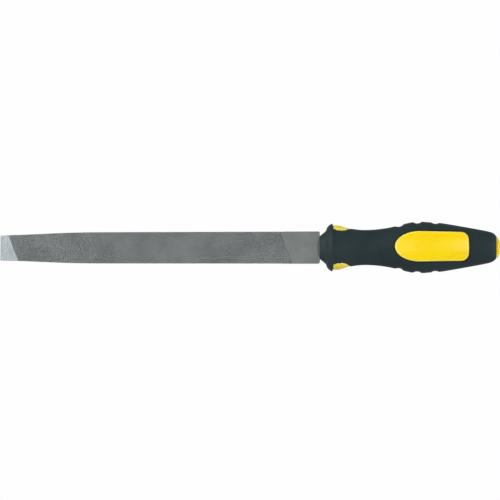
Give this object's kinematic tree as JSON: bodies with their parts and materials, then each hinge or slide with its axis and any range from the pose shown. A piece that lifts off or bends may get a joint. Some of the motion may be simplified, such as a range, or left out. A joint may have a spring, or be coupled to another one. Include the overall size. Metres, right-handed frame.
{
  "type": "flat file",
  "caption": "Flat metalworking file: double-cut tapered blade with a tang in a two-shot handle of hard yellow plastic under soft dark rubber.",
  "frame": {"origin": "middle of the whole tool, on its long axis", "axes": "+X along the tool from the tip to the butt of the handle, +Y across the width of the blade, +Z through its thickness"},
  "size_m": [0.3136, 0.0322, 0.0262],
  "materials": {
    "tool_steel": "matt grey cut faces, bright ground tip, satin heel",
    "yellow_plastic": "satin moulded plastic",
    "dark_rubber": "fine matt texture, dark green-black"
  },
  "bodies": {
    "root": {"file_blade": "tool_steel", "handle_core": "yellow_plastic", "grip_overmould": "dark_rubber", "end_cap": "yellow_plastic"}
  },
  "joints": []
}
